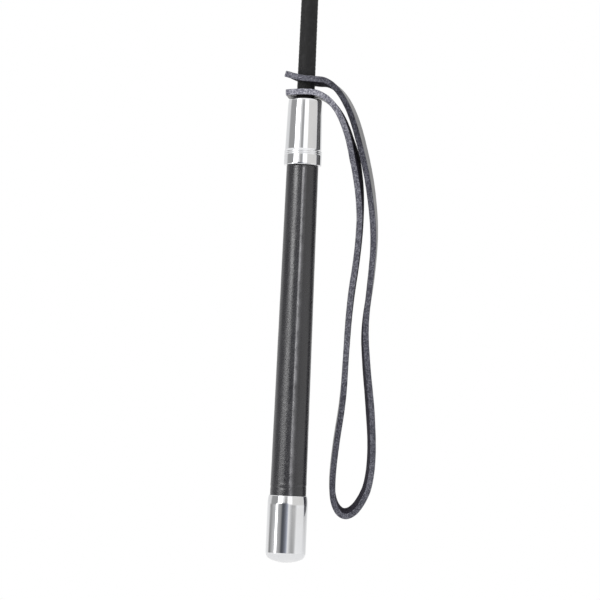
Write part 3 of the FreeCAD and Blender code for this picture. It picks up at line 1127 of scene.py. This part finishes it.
def make_keeper(look):
    """One strip, folded at the top, its two tails gathered on the rod."""
    fold_low = KEEPER_TOP - LAYER_GAP - LEATHER / 2
    rows = round((fold_low - TAIL_LOW) / KEEPER_ROW)
    path = [(TAIL_LOW + (fold_low - TAIL_LOW) * i / rows, -1) for i in range(rows + 1)]
    columns = range(KEEPER_COLUMNS + 1)
    points = []
    for height, side in path:
        points += [keeper_section(2 * j / KEEPER_COLUMNS - 1, height, side) for j in columns]
    for i in range(1, FOLD_STEPS):
        angle = math.pi * i / FOLD_STEPS
        y = -LAYER_GAP * math.cos(angle) * MM
        z = level(fold_low + LAYER_GAP * math.sin(angle))
        points += [Vector(((2 * j / KEEPER_COLUMNS - 1) * KEEPER_WIDTH / 2 * MM, y, z)) for j in columns]
    for height, side in reversed(path):
        points += [keeper_section(2 * j / KEEPER_COLUMNS - 1, height, 1) for j in columns]
    row = KEEPER_COLUMNS + 1
    count = len(points) // row
    faces = []
    for i in range(count - 1):
        for j in range(KEEPER_COLUMNS):
            faces.append((i * row + j, i * row + j + 1, (i + 1) * row + j + 1, (i + 1) * row + j))
    keeper = add_mesh("keeper_leather_fold", points, faces, [look])
    thicken(keeper, LEATHER * MM)
    ease_edges(keeper, KEEPER_EASE * MM, 3)
    bake(keeper)
    push_out(keeper.data, lambda place, index: noise.noise(place * 180.0) * KEEPER_UNEVEN * MM)
    for polygon in keeper.data.polygons:
        polygon.use_smooth = True
    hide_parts("keeper_tails", "keeper_tongue")
    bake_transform(keeper)


def capsule(points, faces, start, end, radius, sides=8):
    """A stitch: a short thread, thinner where it dives into the leather."""
    ahead = (end - start).normalized()
    normal = ahead.orthogonal().normalized()
    other = ahead.cross(normal)
    first = len(points)
    shares = [(0.0, 0.25), (0.1, 0.75), (0.3, 1.0), (0.7, 1.0), (0.9, 0.75), (1.0, 0.25)]
    for share, size in shares:
        for j in range(sides):
            angle = 2 * math.pi * j / sides
            spoke = normal * math.cos(angle) + other * math.sin(angle)
            points.append(start.lerp(end, share) + spoke * radius * size)
    for i in range(len(shares) - 1):
        for j in range(sides):
            n = (j + 1) % sides
            a, b = first + i * sides, first + (i + 1) * sides
            faces.append((a + j, a + n, b + n, b + j))
    faces.append(tuple(reversed(range(first, first + sides))))
    last = first + (len(shares) - 1) * sides
    faces.append(tuple(range(last, last + sides)))


def make_keeper_stitches(look):
    """A row down each side, one across the fold end and one across the root, on both faces."""
    low, high = STITCH_LOW, STITCH_HIGH
    edge = KEEPER_WIDTH / 2 - STITCH_INSET
    corners = [(-edge, low), (-edge, high), (edge, high), (edge, low), (-edge, low)]
    points = []
    faces = []
    surface = LAYER_GAP + LEATHER / 2 + JUST_OFF
    for side in (-1, 1):
        for (ax, az), (bx, bz) in zip(corners, corners[1:]):
            length = math.hypot(bx - ax, bz - az)
            count = round(length / STITCH_PITCH)
            for k in range(count):
                ends = []
                for share in ((k + 0.5) / count - STITCH_LENGTH / 2 / length,
                              (k + 0.5) / count + STITCH_LENGTH / 2 / length):
                    x, z = ax + (bx - ax) * share, az + (bz - az) * share
                    ends.append(Vector((x * MM, side * surface * MM, level(z))))
                capsule(points, faces, ends[0], ends[1], STITCH_R * MM)
    stitches = add_mesh("keeper_stitching", points, faces, [look])
    finish_piece(stitches, "keeper", "thread")


def make_whipping(look):
    """Close turns of waxed thread over the keeper's tails."""
    turns = (WHIP_HIGH - WHIP_LOW) / WHIP_THREAD
    steps = round(turns * WHIP_STEPS)
    centres = []
    for i in range(steps + 1):
        share = i / steps
        height = WHIP_LOW + (WHIP_HIGH - WHIP_LOW) * share
        angle = 2 * math.pi * turns * share
        reach = shaft_r(height) + LEATHER + 0.05 + WHIP_THREAD * 0.45
        reach += 0.03 * noise.noise(Vector((height * 0.9, 3.0, 1.0)))
        centres.append(Vector((reach * MM * math.cos(angle), reach * MM * math.sin(angle), level(height))))
    whipping = tube("whipping_thread", centres, WHIP_THREAD * 0.52 * MM, 7, look)
    finish_piece(whipping, "crop", "thread", "tip_whipping")


def dress_inner_nodes(thread):
    """Finishes for the pieces that the skin and the fittings cover."""
    looks = {
        "core_rod": glass_fibre_look(),
        "grip_former": moulded_look(),
        "lower_grip_binding": thread,
        "upper_grip_binding": thread,
    }
    for node, look in looks.items():
        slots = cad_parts[node].data.materials
        slots.clear()
        slots.append(look)


def make_floor():
    """A pale disc, well below the crop."""
    low = BUTT_Z - FLOOR_DROP
    points = [(0.0, 0.0, low)]
    for j in range(FLOOR_AROUND):
        angle = 2 * math.pi * j / FLOOR_AROUND
        points.append((FLOOR_RADIUS * math.cos(angle), FLOOR_RADIUS * math.sin(angle), low))
    faces = [(0, 1 + j, 1 + (j + 1) % FLOOR_AROUND) for j in range(FLOOR_AROUND)]
    floor = add_mesh("floor", points, faces, [floor_look()], smooth=False)


make_camera()
make_strap()
make_world()
make_floor()
make_butt_cap()
make_ferrule()
make_grip()
make_shaft()
keeper_leather = keeper_look()
waxed_thread = thread_look("waxed_thread", (0.02, 0.02, 0.022))
make_keeper(keeper_leather)
make_keeper_stitches(thread_look("stitch_thread", (0.05, 0.05, 0.052)))
make_whipping(waxed_thread)
dress_inner_nodes(waxed_thread)

scene = bpy.context.scene
scene.view_settings.view_transform = "Standard"
scene.view_settings.look = "None"
